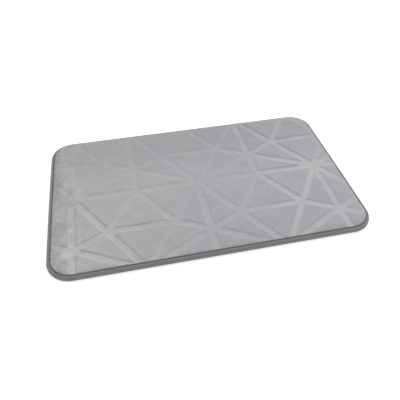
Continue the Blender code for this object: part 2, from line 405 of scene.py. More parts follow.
def pile_colour(tree, place, pressed):
    """Grey painted darker and cooler to the right as shade, with pressed bands painted paler as
    sheen, a random warm tint, and painted light and shade over the nap.
    """
    parts = axes(tree, place)
    cloud = stretched_noise(tree, place, (7.0, 4.0), 0.3)
    wander = product(tree, maths(tree, "SUBTRACT", cloud, 0.5), 0.5)
    along = maths(tree, "ADD", parts["X"], wander)
    # Painted shade darkens and cools the raised pile to the right. The pressed bands are painted
    # paler as sheen, and that sheen is painted weaker near the middle.
    painted_right_shade = spread(tree, along, -0.3, 0.15, 0.0, 1.0)
    raised = mixed(tree, painted_right_shade, (0.319, 0.323, 0.330, 1.0), (0.299, 0.298, 0.3175, 1.0))
    flat = mixed(tree, painted_right_shade, (0.352, 0.344, 0.353, 1.0), (0.352, 0.351, 0.3615, 1.0))
    clear = spread(tree, maths(tree, "ABSOLUTE", along), 0.0, 0.34, 0.35, 1.0)
    colour = mixed(tree, product(tree, pressed, clear), raised, flat)
    warm = spread(tree, stretched_noise(tree, place, (9.0, 9.0)), 0.42, 0.62, 0.0, 1.0)
    tint = mixed(tree, warm, (0.998, 1.0, 1.0, 1.0), (1.016, 0.99, 1.002, 1.0))

    # Painted shade darkens the nap at the back and at the left end, and painted light brightens it
    # at the front left.
    shade = spread(tree, parts["Y"], -0.02, 0.23, 1.0, 0.84)
    front = spread(tree, parts["Y"], -0.20, 0.02, 1.0, 0.0)
    painted_front_light = product(tree, front, spread(tree, along, -0.36, -0.12, 0.065, 0.0))
    end = spread(tree, along, -0.40, -0.335, 0.16, 0.0)
    painted_end_shade = product(tree, maths(tree, "SUBTRACT", 1.0, front), end)
    painted_light_and_shade = maths(tree, "ADD", maths(tree, "SUBTRACT", painted_front_light, painted_end_shade), 1.0)
    return shaded(tree, colour, tint, shade, painted_light_and_shade)


def brush_marks(tree, place, along):
    """Long strokes all over, and a mottled nap where the net fades at the left end."""
    strokes = stretched_noise(tree, place, (26.0, 60.0), 0.5, 4.0, 1.2)
    mottle = stretched_noise(tree, place, (30.0, 21.0), -0.4, 2.0, 0.8)
    marks = stretched_noise(tree, place, (60.0, 130.0), 0.7, 2.0, 0.5)
    nap = spread(tree, along, -0.38, -0.27, 0.10, 0.012)
    near_end = spread(tree, along, -0.392, -0.35, 0.10, 0.0)
    masks = [spread(tree, strokes, 0.3, 0.7, 0.97, 1.03)]
    for pattern, low, amount in ((mottle, 0.36, nap), (marks, 0.38, near_end)):
        change = product(tree, spread(tree, pattern, low, 0.62, -1.0, 1.0), amount)
        masks.append(maths(tree, "ADD", change, 1.0))
    return masks


def painted_wall_shadow(tree, place, along, off_line, opening, share):
    """A painted shadow: a dark line on the channel walls that face away from the light, added to the
    real shading of the walls' slopes.
    """
    past_wall = maths(tree, "SUBTRACT", off_line, CHANNEL_WIDTH / 2 + 0.3 * MM)
    wall = spread(tree, maths(tree, "ABSOLUTE", past_wall), 0.2 * MM, 1.0 * MM, 1.0, 0.0)
    patchy = spread(tree, stretched_noise(tree, place, (11.0, 14.0), 1.1), 0.42, 0.58, 0.1, 1.0)
    # The painted shadow line is weaker towards the right.
    shadow_fade_right = spread(tree, along, -0.10, 0.22, 1.0, 0.3)
    wall_shadow_amount = product(tree, wall, opening, patchy, product(tree, shadow_fade_right, share))
    edge = spread(tree, wall_shadow_amount, -1.0, 1.0, 1.36, 0.64, soft=False)
    return maths(tree, "MINIMUM", edge, 1.03)


def plush_material():
    material, tree, surface = new_material("plush_pile", 0.92, 0.25, 0.45)
    place = object_place(tree)
    names = ("share", "off_line", "opening", "rim")
    share, off_line, opening, rim = (attribute(tree, name) for name in names)
    low, high = CHANNEL_WIDTH / 2 - 0.8 * MM, CHANNEL_WIDTH / 2 + 0.8 * MM
    pressed = product(tree, spread(tree, off_line, low, high, 1.0, 0.0), share)
    along = axes(tree, place)["X"]
    line = product(tree, wave(tree, off_line, 1 / ROLLER_LINE), pressed)

    # Painted shade darkens the pile where it dives into the crease at the seam, and a little painted
    # shade lies on its steep shoulder a little way in.
    painted_seam_shade = spread(tree, rim, 0.2 * MM, 3.2 * MM, 0.42, 0.97)
    painted_shoulder_shade = spread(tree, rim, 2.0 * MM, 8.0 * MM, 0.96, 1.0)
    fibres = place_group(tree, SPECKLE, Vector=place, Strength=0.16)
    shades = (
        *brush_marks(tree, place, along),
        painted_wall_shadow(tree, place, along, off_line, opening, share),
        spread(tree, line, -1.0, 1.0, 0.975, 1.025, soft=False),
        painted_seam_shade,
        painted_shoulder_shade,
        fibres["Shade"],
    )
    colour = shaded(tree, pile_colour(tree, place, pressed), *shades)
    pile = bump(tree, fibres["Height"], 0.8 * MM, 0.6)
    dress(tree, surface, colour, bump(tree, line, 0.05 * MM, 1.0, pile))
    return material


PLUSH = plush_material()


# %% Tape, thread, backing, grip, label, foam and wadding materials
def tape_material():
    """Knitted ribs, with painted shade in the crease at the seam and on the fold from the middle of
    its outer side downwards.
    """
    material, tree, surface = new_material("knitted_tape", 0.85, 0.2, 0.5)
    uv = add_node(tree, "ShaderNodeUVMap", uv_map="along_across")["UV"]
    ribs = place_group(tree, RIBS, UV=uv, Ribs_Per_Metre=620.0, Slant=0.55)
    fibres = place_group(tree, SPECKLE, Vector=object_place(tree), Strength=0.12)
    across = axes(tree, uv)["Y"]
    painted_crease_shade = spread(tree, across, 0.4 * MM, 2.0 * MM, 0.42, 1.0)
    painted_lower_shade = spread(tree, across, 8.0 * MM, 16.0 * MM, 1.0, 0.74)
    grey = (0.178, 0.178, 0.181, 1.0)
    colour = shaded(tree, grey, ribs["Shade"], fibres["Shade"], painted_crease_shade, painted_lower_shade)
    knit = bump(tree, ribs["Height"], 0.12 * MM)
    dress(tree, surface, colour, bump(tree, fibres["Height"], 0.15 * MM, 0.5, knit))
    return material


def speckled(tree, surface, colour, depth, **values):
    """Dresses a surface in one colour with the fibre speckle, and gives the speckle's height."""
    fibres = place_group(tree, SPECKLE, **values)
    dress(tree, surface, shaded(tree, colour, fibres["Shade"]), bump(tree, fibres["Height"], depth))
    return fibres["Height"]


def thread_material():
    material, tree, surface = new_material("sewing_thread", 0.6, 0.1)
    speckle = {"Vector": object_place(tree), "Fibres_Per_Metre": 4000.0, "Strength": 0.2}
    speckled(tree, surface, (0.13, 0.13, 0.133, 1.0), 0.05 * MM, **speckle)
    return material


def weave_material(name, colour, threads_per_metre, depth, roughness):
    """Plain cloth: warp and weft as two crossed waves, with a fibre speckle over them."""
    material, tree, surface = new_material(name, roughness, 0.1)
    place = object_place(tree)
    parts = axes(tree, place)
    warp, weft = (wave(tree, parts[axis], threads_per_metre) for axis in "XY")
    height = product(tree, warp, weft)
    weave = spread(tree, height, -1.0, 1.0, 0.88, 1.06)
    fibres = place_group(tree, SPECKLE, Vector=place, Strength=0.1)
    colour = shaded(tree, colour, weave, fibres["Shade"])
    dress(tree, surface, colour, bump(tree, height, depth))
    return material


def grip_material():
    material, tree, surface = new_material("grip_rubber", 0.5)
    speckle = {"Vector": object_place(tree), "Fibres_Per_Metre": 900.0, "Strength": 0.08}
    height = speckled(tree, surface, (0.40, 0.40, 0.41, 1.0), 0.04 * MM, **speckle)
    feed(tree, surface["Roughness"], spread(tree, height, 0.3, 0.7, 0.4, 0.6))
    return material


def foam_material():
    """Cut foam: each open cell is painted darker in its middle, as shade in its hollow."""
    material, tree, surface = new_material("cushion_foam", 0.95)
    inputs = {"Vector": object_place(tree), "Scale": 1100.0}
    cells = add_node(tree, "ShaderNodeTexVoronoi", inputs)["Distance"]
    painted_hollow_shade = spread(tree, cells, 0.0, 0.5, 0.75, 1.05)
    colour = shaded(tree, (0.78, 0.72, 0.56, 1.0), painted_hollow_shade)
    dress(tree, surface, colour, bump(tree, cells, 0.3 * MM))
    return material


def wadding_material():
    """Long fibres lying one way: the place is stretched, and the speckle's scales count on that."""
    material, tree, surface = new_material("bonded_wadding", 0.95, 0.3)
    long_fibres = scaled(tree, object_place(tree), (120.0, 900.0, 900.0), 0.4)
    speckle = {"Fibres_Per_Metre": 1.0, "Clumps_Per_Metre": 0.3, "Strength": 0.2}
    speckled(tree, surface, (0.8, 0.8, 0.79, 1.0), 0.6 * MM, Vector=long_fibres, **speckle)
    return material


TAPE = tape_material()
THREAD = thread_material()
BACKING = weave_material("backing_weave", (0.50, 0.50, 0.51, 1.0), 900.0, 0.15 * MM, 0.9)
GRIP = grip_material()
LABEL = weave_material("label_ribbon", (0.85, 0.85, 0.84, 1.0), 3000.0, 0.03 * MM, 0.5)
FOAM = foam_material()
WADDING = wadding_material()
print("materials:", [material.name for material in bpy.data.materials])

# %% [markdown]
# ## Foam core and wadding
#
# Both are cut flat from sheet stock and nothing presses them out of shape, so the packed
# model's own solids are right. They only take better materials.

# %% Finish the core and the wadding
for node, material in (("foam_core", FOAM), ("wadding", WADDING)):
    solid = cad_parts[node]
    solid.data.materials.clear()
    solid.data.materials.append(material)
    print(node, "finished with", material.name)

# %% [markdown]
# ## The cover's sheet
#
# The cover is one sheet with a crown: it climbs steeply out of the seam and levels off.
# A plain grid would leave ragged steps round the corners, so the grid's square corner
# blocks are bent into quarter discs: a line at a constant distance from the edge stays
# at that distance all the way round. The lines are also closer together at the rim,
# where the crown is steep.

# %% Shape of the crown
SHEET_STEP = 4.3 * MM
FIRST_STEP = 0.9 * MM
STEP_GROWTH = 1.3
CROWN_WIDTH = 30 * MM
RIM_HEIGHT = COVER_LOW + 1.2 * MM


def grid_lines(half):
    """Places of grid lines from -half to half, closer together at both ends."""
    insets = [0.0]
    step = FIRST_STEP
    while step < SHEET_STEP:
        insets.append(insets[-1] + step)
        step *= STEP_GROWTH
    middle = half - insets[-1]
    inner = np.linspace(-middle, middle, round(2 * middle / SHEET_STEP) + 1)
    rim = half - np.array(insets[:-1])
    return np.concatenate([-rim, inner, rim[::-1]])


def bend_corners(x, y, half_x, half_y, radius):
    """Bends the square corners of a rectangle into quarter discs of that radius."""
    into_x = np.abs(x) - (half_x - radius)
    into_y = np.abs(y) - (half_y - radius)
    corner = (into_x > 0) & (into_y > 0)
    reach = np.where(corner, np.maximum(into_x, into_y), 1.0)
    less = np.where(corner, np.minimum(into_x, into_y), 0.0)
    angle = less / reach * math.pi / 4
    angle = np.where(into_x >= into_y, angle, math.pi / 2 - angle)
    round_x = np.sign(x) * (half_x - radius + reach * np.cos(angle))
    round_y = np.sign(y) * (half_y - radius + reach * np.sin(angle))
    return np.where(corner, round_x, x), np.where(corner, round_y, y)


def crown_height(inwards):
    """Height of the cover's face at a distance inwards from its rim."""
    share = np.clip(inwards / CROWN_WIDTH, 0.0, 1.0)
    return RIM_HEIGHT + (COVER_HIGH - RIM_HEIGHT) * np.sqrt(1 - (1 - share) ** 3)


# %% [markdown]
# ## How the cover settles
#
# The cover is cut a little larger than its bed and sewn down all round, so it lies with
# soft swells and hollows. A coarse copy of the sheet settles as cloth: its rim is pinned,
# it has a little slack, and a weak goal stands for the foam below. Coarse cells keep the
# swells wide and the simulation quick. The fine sheet then takes the coarse one's heights,
# smoothed and kept small. A noise displacement would be simpler, but it wouldn't run along
# the seam as real slack does.

# %% Settle a coarse copy
COARSE_STEP = 13 * MM
SLACK = 0.004
FOAM_HOLD = 0.15
FRAMES = 24
MOST_OFFSET = 0.8 * MM
RIM_FADE = 10 * MM


def rounded_grid(xs, ys, inset):
    """A grid bent to the mat's outline at that inset, and how far inwards each point is."""
    half_x, half_y = HALF_LENGTH - inset, HALF_WIDTH - inset
    x, y = (grid.ravel() for grid in np.meshgrid(xs, ys))
    inwards = np.minimum(half_x - np.abs(x), half_y - np.abs(y))
    return *bend_corners(x, y, half_x, half_y, CORNER_RADIUS - inset), inwards


def crowned_points(xs, ys):
    """Points of the cover's sheet over these grid lines, with the crown."""
    x, y, inwards = rounded_grid(xs, ys, MOUTH_INSET)
    return np.column_stack([x, y, crown_height(inwards)]), inwards


def grid_faces(columns, rows):
    first = (np.arange(columns - 1) + columns * np.arange(rows - 1)[:, None]).ravel()
    return np.column_stack([first, first + 1, first + columns + 1, first + columns]).tolist()


def settle(xs, ys):
    """Offsets of each coarse point after the sheet has settled as cloth."""
    points, inwards = crowned_points(xs, ys)
    sheet = object_from("settling_sheet", points.tolist(), grid_faces(len(xs), len(ys)))
    goal = sheet.vertex_groups.new(name="goal")
    for index, distance in enumerate(inwards):
        goal.add([index], 1.0 if distance < 1 * MM else FOAM_HOLD, "REPLACE")
    cloth = sheet.modifiers.new("settle", "CLOTH")
    settings = cloth.settings
    settings.quality = 6
    settings.mass = 0.02
    settings.tension_stiffness = 12.0
    settings.compression_stiffness = 12.0
    settings.shear_stiffness = 4.0
    settings.bending_stiffness = 0.4
    settings.vertex_group_mass = "goal"
    settings.shrink_min = -SLACK
    settings.effector_weights.gravity = 0.0
    cloth.collision_settings.use_collision = False
    cloth.point_cache.frame_end = FRAMES
    for frame_number in range(1, FRAMES + 1):
        bpy.context.scene.frame_set(frame_number)
    frozen(sheet)
    after = np.empty(3 * len(points))
    sheet.data.vertices.foreach_get("co", after)
    bpy.data.objects.remove(sheet)
    bpy.context.scene.frame_set(1)
    return (after.reshape(-1, 3) - points).reshape(len(ys), len(xs), 3)


def softened(values, rounds):
    """Blurs a grid of heights along both of its directions."""
    for _ in range(rounds):
        for axis in (0, 1):
            ends = [(1, 1), (0, 0)] if axis == 0 else [(0, 0), (1, 1)]
            padded = np.pad(values, ends, mode="edge")
            ahead = np.take(padded, range(2, padded.shape[axis]), axis)
            behind = np.take(padded, range(padded.shape[axis] - 2), axis)
            values = values / 2 + (ahead + behind) / 4
    return values


def spread_heights(offsets, coarse_x, coarse_y, xs, ys):
    """The coarse heights, laid smoothly over the fine grid and kept small."""
    heights = np.array([np.interp(xs, coarse_x, row) for row in offsets[:, :, 2]])
    heights = np.array([np.interp(ys, coarse_y, column) for column in heights.T]).T
    return MOST_OFFSET * np.tanh(softened(heights, rounds=10) / MOST_OFFSET)


# %% Build the sheet
def cover_sheet():
    halves = (HALF_LENGTH - MOUTH_INSET, HALF_WIDTH - MOUTH_INSET)
    coarse = [np.linspace(-half, half, round(2 * half / COARSE_STEP) + 1) for half in halves]
    xs, ys = (grid_lines(half) for half in halves)
    heights = spread_heights(settle(*coarse), *coarse, xs, ys).ravel()
    points, inwards = crowned_points(xs, ys)
    points[:, 2] += heights * np.clip(inwards / RIM_FADE, 0.0, 1.0)
    print(f"settled by {heights.min() / MM:.2f} to {heights.max() / MM:.2f} mm")
    return object_from("plush_face", points.tolist(), grid_faces(len(xs), len(ys)))


plush = cover_sheet()
print("cover sheet:", len(plush.data.vertices), "points")

# %% Smooth it once and close it underneath
def add_subdivision(obj):
    finer = obj.modifiers.new("finer", "SUBSURF")
    finer.levels = finer.render_levels = 1
    return frozen(obj)


def nearest_inset(point):
    """Distance inwards from the mat's outline, and the outward direction there."""
    into_x = abs(point.x) - (HALF_LENGTH - CORNER_RADIUS)
    into_y = abs(point.y) - (HALF_WIDTH - CORNER_RADIUS)
    if into_x > 0 and into_y > 0:
        out = Vector((math.copysign(into_x, point.x), math.copysign(into_y, point.y), 0.0))
        return CORNER_RADIUS - out.length, out.normalized()
    if into_x > into_y:
        return CORNER_RADIUS - into_x, Vector((math.copysign(1.0, point.x), 0.0, 0.0))
    return CORNER_RADIUS - into_y, Vector((0.0, math.copysign(1.0, point.y), 0.0))


def close_underneath(obj, turns):
    """Extrudes the sheet's rim through (inset, height) turns, then caps the last one."""
    work = bmesh.new()
    work.from_mesh(obj.data)
    rim = [edge for edge in work.edges if edge.is_boundary]
    for inset, height in turns:
        made = bmesh.ops.extrude_edge_only(work, edges=rim)["geom"]
        for vert in (item for item in made if isinstance(item, bmesh.types.BMVert)):
            now, out = nearest_inset(vert.co)
            vert.co += out * (now - inset)
            vert.co.z = height
        rim = [item for item in made if isinstance(item, bmesh.types.BMEdge)]
        rim = [edge for edge in rim if edge.is_boundary]
    cap = bmesh.ops.contextual_create(work, geom=rim)["faces"]
    bmesh.ops.triangulate(work, faces=cap)
    bmesh.ops.recalc_face_normals(work, faces=work.faces)
    work.to_mesh(obj.data)
    work.free()


plush = add_subdivision(plush)
FLANGE_TOP = COVER_LOW + 0.9 * MM
UNDER_COVER = WADDING_HIGH + CLEARANCE
cover_turns = [
    (MOUTH_INSET, FLANGE_TOP),
    (SEAM_INSET, FLANGE_TOP),
    (SEAM_INSET, COVER_LOW),
    (POCKET_INSET, COVER_LOW),
    (POCKET_INSET, UNDER_COVER),
]
close_underneath(plush, cover_turns)
count(plush)

# %% [markdown]
# ## The pressed net
#
# A heated roller presses a net of channels into the pile: large triangles, each cut by
# its medians or by the lines between its midpoints. The net is a rule, so it is built as
# a mesh of bare edges. Geometry Nodes then measure each point's distance to the nearest
# edge and lower the points inside a channel, with a rounded wall a little wider than a
# cell, as a sharp one would show the grid's steps. The tree also stores each point's
# distance from the nearest line and how squarely its side of the line faces the light,
# and the material paints a crisp shadow line on the walls that face away from it.

# %% The net as bare edges
TRIANGLE_SIDE = 336 * MM
TRIANGLE_HEIGHT = 260 * MM
NET_CORNER = Vector((-4 * MM, -1 * MM, 0.0))


def net_edges():
    """Pairs of end points: the lines of every cell of the net that touches the mat."""
    lines = []
    rows = math.ceil(HALF_WIDTH / TRIANGLE_HEIGHT) + 1
    columns = math.ceil(HALF_LENGTH / TRIANGLE_SIDE) + 1
    for row in range(-rows, rows + 1):
        shift = TRIANGLE_SIDE / 2 * (row % 2)
        for column in range(-columns, columns + 1):
            place = Vector((column * TRIANGLE_SIDE + shift, row * TRIANGLE_HEIGHT, 0.0))
            left = NET_CORNER + place
            right = left + Vector((TRIANGLE_SIDE, 0.0, 0.0))
            back = left + Vector((TRIANGLE_SIDE / 2, TRIANGLE_HEIGHT, 0.0))
            front = left + Vector((TRIANGLE_SIDE / 2, -TRIANGLE_HEIGHT, 0.0))
            middle = (left + right + back) / 3
            top, low_left, low_right = (left + right) / 2, (left + front) / 2, (right + front) / 2
            lines += [(left, right), (left, back), (right, back)]
            halves = (top, (left + back) / 2, (right + back) / 2)
            lines += [(middle, end) for end in (left, right, back, *halves)]
            lines += [(top, low_left), (top, low_right), (low_left, low_right)]
    return lines


def net_object():
    lines = net_edges()
    points = [tuple(end) for line in lines for end in line]
    edges = [(2 * index, 2 * index + 1) for index in range(len(lines))]
    return object_from("pressing_net", points, [], edges)


net = net_object()
print("net:", len(net.data.edges), "lines")


# %% The tree that presses the net into the pile
def geometry_tree(name, *inputs):
    """A Geometry Nodes tree that takes a geometry, these inputs and a material."""
    inputs = [("Geometry", GEOMETRY), *inputs, ("Material", MATERIAL)]
    return new_tree(name, "GeometryNodeTree", inputs, [("Geometry", GEOMETRY)])


def finish_tree(tree, geometry, given, result):
    """Every tree ends the same way: instances made real, and one material."""
    real = add_node(tree, "GeometryNodeRealizeInstances", {0: geometry})[0]
    inputs = {"Geometry": real, "Material": given["Material"]}
    feed(tree, result["Geometry"], add_node(tree, "GeometryNodeSetMaterial", inputs)[0])
    return tree


def stored(tree, name):
    """An attribute that the mesh already carries."""
    kind = "GeometryNodeInputNamedAttribute"
    return add_node(tree, kind, {"Name": name}, data_type="FLOAT")["Attribute"]


def pressing_tree():
    tree, given, result = geometry_tree(
        "press_net",
        ("Net", OBJECT),
        ("Channel Width", FLOAT, 0.016),
        ("Channel Depth", FLOAT, 0.002),
        ("Wall Width", FLOAT, 0.0045),
        ("Pile Lean", VECTOR),
    )
    room, share = stored(tree, "room"), stored(tree, "share")
    position = add_node(tree, "GeometryNodeInputPosition")[0]
    flat = vector_maths(tree, "MULTIPLY", position, (1.0, 1.0, 0.0))[0]
    lines = add_node(tree, "GeometryNodeObjectInfo", {"Object": given["Net"]})["Geometry"]
    targets = {0: lines, "Source Position": flat}
    nearest = add_node(tree, "GeometryNodeProximity", targets, target_element="EDGES")
    away = vector_maths(tree, "SUBTRACT", flat, nearest["Position"])[0]
    outwards = vector_maths(tree, "NORMALIZE", away)[0]

    # The wall is rounded: the drop fades over its width, half of it on each side.
    past = maths(tree, "SUBTRACT", nearest["Distance"], product(tree, given["Channel Width"], 0.5))
    half_wall = product(tree, given["Wall Width"], 0.5)
    fall = spread(tree, past, product(tree, half_wall, -1.0), half_wall, 1.0, 0.0)
    drop = product(tree, fall, share, given["Channel Depth"], room, -1.0)
    down = add_node(tree, "ShaderNodeCombineXYZ", {"Z": drop})[0]
    # Painted light direction: points on the side of a line that faces it get the painted shadow line
    # in the material.
    facing_light = vector_maths(tree, "DOT_PRODUCT", outwards, given["Pile Lean"])["Value"]
    opening = product(tree, facing_light, share)

    geometry = given["Geometry"]
    for name, value in (("off_line", nearest["Distance"]), ("opening", opening)):
        inputs = {"Geometry": geometry, "Name": name, "Value": value}
        kind = "GeometryNodeStoreNamedAttribute"
        geometry = add_node(tree, kind, inputs, data_type="FLOAT")["Geometry"]
    inputs = {"Geometry": geometry, "Offset": down}
    pressed = add_node(tree, "GeometryNodeSetPosition", inputs)["Geometry"]
    return finish_tree(tree, pressed, given, result)


def run_tree(obj, tree, **values):
    """Runs a tree on an object with these named inputs, and keeps the plain mesh."""
    modifier = obj.modifiers.new(tree.name, "NODES")
    modifier.node_group = tree
    sockets = {item.name: item.identifier for item in tree.interface.items_tree}
    for label, value in values.items():
        modifier[sockets[label.replace("_", " ")]] = value
    return frozen(obj)


# %% Press the net
LEAST_PILE = 0.4 * MM
WALL_WIDTH = 4.5 * MM
# Direction towards the light in the mat's plane, used only for the painted shadow lines on the
# channel walls.
PAINTED_LIGHT_DIRECTION = (0.45, 0.9, 0.0)


def smooth_step(value, low, high):
    share = min(max((value - low) / (high - low), 0.0), 1.0)
    return share * share * (3 - 2 * share)


def net_strength(place):
    """How well the net took: best on the right and at the front left, poorly at both ends."""
    ragged = 0.03 * noise.noise(place * 18)
    worn = 0.15 + 0.85 * smooth_step(place.x + ragged, -0.385, -0.335)
    worn *= 1.0 - 0.6 * smooth_step(place.x + ragged, 0.345, 0.385)
    cloudy = 0.08 * noise.noise(place * 7 + Vector((5.0, 2.0, 1.0)))
    right = smooth_step(place.x + cloudy, 0.02, 0.24)
    front = smooth_step(-place.y + cloudy, -0.06, 0.12)
    front *= 0.45 + 0.55 * smooth_step(-place.x + cloudy, 0.08, 0.28)
    return worn * (0.45 + 0.55 * max(right, front))


def store_rooms(obj):
    """Marks each point: its distance from the rim, the room to press it, and the net's share."""
    names = ("rim", "room", "share")
    rim, room, share = (obj.data.attributes.new(name, "FLOAT", "POINT").data for name in names)
    for vert in obj.data.vertices:
        inset, _ = nearest_inset(vert.co)
        inwards = inset - MOUTH_INSET
        on_face = vert.co.z > UNDER_COVER + 0.5 * MM
        to_wadding = (vert.co.z - UNDER_COVER - LEAST_PILE) / CHANNEL_DEPTH
        rim[vert.index].value = max(inwards, 0.0)
        room[vert.index].value = min(smooth_step(inwards, 2 * MM, 8 * MM), max(to_wadding, 0.0))
        share[vert.index].value = net_strength(vert.co) if on_face else 0.0


store_rooms(plush)
plush = run_tree(
    plush,
    pressing_tree(),
    Net=net,
    Channel_Width=CHANNEL_WIDTH,
    Channel_Depth=CHANNEL_DEPTH,
    Wall_Width=WALL_WIDTH,
    Pile_Lean=PAINTED_LIGHT_DIRECTION,
    Material=PLUSH,
)
bpy.data.objects.remove(net)

# %% [markdown]
# ## The lean of the pile
#
# Plush is combed one way, so its pile hangs over the tape on two sides of the mat and
# stands back from it on the other two. The points above the tape's top are moved out by
# a distance that depends on which way their edge faces, fading to nothing further in.

# %% Comb the pile towards the back
LEAN_BACK = 4.6 * MM
LEAN_RIGHT = 2.2 * MM
RAGGED = 1.6 * MM


def comb_pile(obj):
    for vert in obj.data.vertices:
        inset, out = nearest_inset(vert.co)
        inwards = inset - MOUTH_INSET
        ends = max(out.y, 0.0) ** 2 * LEAN_BACK + max(out.x, 0.0) ** 2 * LEAN_RIGHT
        ends += RAGGED * noise.noise(vert.co * 70)
        uneven = 1.0 + 0.35 * noise.noise(vert.co * 22)
        rising = smooth_step(vert.co.z, TAPE_HIGH + 0.1 * MM, TAPE_HIGH + 1.3 * MM)
        fading = 1.0 - smooth_step(inwards, 3 * MM, 32 * MM)
        vert.co += out * (ends * uneven * rising * fading)


comb_pile(plush)
smooth(plush)
count(plush)

# %% [markdown]
# ## The edge tape
#
# A knitted tape is folded round the edge, so its section is a C. Sewing pulls it in: it
# sinks along the seam, puckers every few millimetres, and its line wanders by a few tenths
# of a millimetre. The section is swept over the stations, and the puckers are added as it
# goes. A Bevel on a curve would make the C, but not the puckers or a UV map in metres for
# the knit.

# %% The tape's section
TAPE_THICKNESS = 0.9 * MM
FOLD_RADIUS = 6.8 * MM
TURN_STEPS = 9


def turn(radius, high, start, end):
    """Points on one turn of the fold: 90 degrees is up and 180 is away from the mat."""
    middle = TAPE_HIGH - FOLD_RADIUS if high else TAPE_LOW + FOLD_RADIUS
    angles = np.radians(np.linspace(start, end, TURN_STEPS))
    return [(FOLD_RADIUS + radius * math.cos(a), middle + radius * math.sin(a)) for a in angles]


def tape_section():
    """(inset, height) points, from the top leg's end round the outside and back inside."""
    inner = FOLD_RADIUS - TAPE_THICKNESS
    soft = TAPE_THICKNESS / 4
    leg = [TAPE_REACH - soft, THREAD_INSET + 0.5 * MM, THREAD_INSET, THREAD_INSET - 0.4 * MM]
    outside = [(inset, TAPE_HIGH) for inset in leg]
    outside += turn(FOLD_RADIUS, True, 90, 180)
    outside += turn(FOLD_RADIUS, False, 180, 270)
    outside += [(inset, TAPE_LOW) for inset in reversed(leg)]
    low_end = [(TAPE_REACH, TAPE_LOW + soft), (TAPE_REACH, TAPE_LOW + 3 * soft)]
    inside = [(TAPE_REACH - soft, TAPE_LOW + TAPE_THICKNESS)]
    inside += turn(inner, False, 270, 180)
    inside += turn(inner, True, 180, 90)
    inside += [(TAPE_REACH - soft, TAPE_HIGH - TAPE_THICKNESS)]
    high_end = [(TAPE_REACH, TAPE_HIGH - 3 * soft), (TAPE_REACH, TAPE_HIGH - soft)]
    return np.array(outside + low_end + inside + high_end), len(outside)


section, outside_count = tape_section()
print("tape section:", len(section), "points")

# %% Sweep it with puckers
STITCH_LENGTH = 3 * MM
SEAM_SINK = 0.35 * MM
PUCKER = 0.18 * MM
WANDER = 0.30 * MM


def wander(run, wavelength, seed):
    """Smooth closed noise along the edge: it ends where it starts."""
    angle = 2 * math.pi * run / PERIMETER
    radius = PERIMETER / (2 * math.pi * wavelength)
    spot = Vector((radius * math.cos(angle), radius * math.sin(angle), seed))
    return noise.noise(spot)


def edge_tape():
    """The section at every station, sunk at the seam and puckered by the stitches."""
    rings = []
    insets, heights = section.T
    near_seam = np.exp(-(((insets - THREAD_INSET) / (0.8 * MM)) ** 2))
    legs = np.clip((insets - FOLD_RADIUS * 0.5) / (FOLD_RADIUS * 0.5), 0.0, 1.0)
    high = heights > (TAPE_HIGH + TAPE_LOW) / 2
    inwards = np.where(high, -1.0, 1.0)
    for x, y, out_x, out_y, run in tape_stations:
        pull = 0.5 + 0.5 * math.cos(2 * math.pi * run / (2 * STITCH_LENGTH))
        sink = near_seam * SEAM_SINK * (0.7 + 0.3 * pull)
        pucker = PUCKER * wander(run, 7 * MM, 3.0) * legs
        height = heights + inwards * sink + np.where(high, pucker, 0.0)
        drift = WANDER * wander(run, 45 * MM, 8.0)
        inset = insets + np.where(insets > FOLD_RADIUS, drift, 0.0)
        rings.append(np.column_stack([x - out_x * inset, y - out_y * inset, height]))
    return np.concatenate(rings)


def swept_faces(size, rings, closed):
    """Faces between rings of size points each, and back to the first ring if closed."""
    faces = []
    for ring in range(rings if closed else rings - 1):
        here, there = ring * size, (ring + 1) % rings * size
        for index in range(size):
            after = (index + 1) % size
            faces.append((here + index, here + after, there + after, there + index))
    return faces


tape_quads = swept_faces(len(section), len(tape_stations), closed=True)
tape = object_from("edge_tape", edge_tape().tolist(), tape_quads)


# %% Give the tape a UV map in metres
def lay_uv(obj):
    """U is metres along the edge and V metres across the tape, for the knit."""
    steps = np.linalg.norm(np.diff(section, axis=0), axis=1)
    across = np.concatenate([[0.0], np.cumsum(steps), [steps.sum()]])
    runs = np.append(tape_stations[:, 4], PERIMETER)
    values = []
    for here, there in zip(runs, runs[1:]):
        for low, high in zip(across, across[1:]):
            values += [here, low, here, high, there, high, there, low]
    obj.data.uv_layers.new(name="along_across").data.foreach_set("uv", values)


lay_uv(tape)
tape.data.materials.append(TAPE)
smooth(tape)
count(tape)

# %% [markdown]
# ## The stitches
#
# A lockstitch shows one thread above and one below. Every stitch is the same short arch
# that dives into the tape at both ends, so one arch is made by Geometry Nodes and copied
# along the seam's path, turned to follow it.


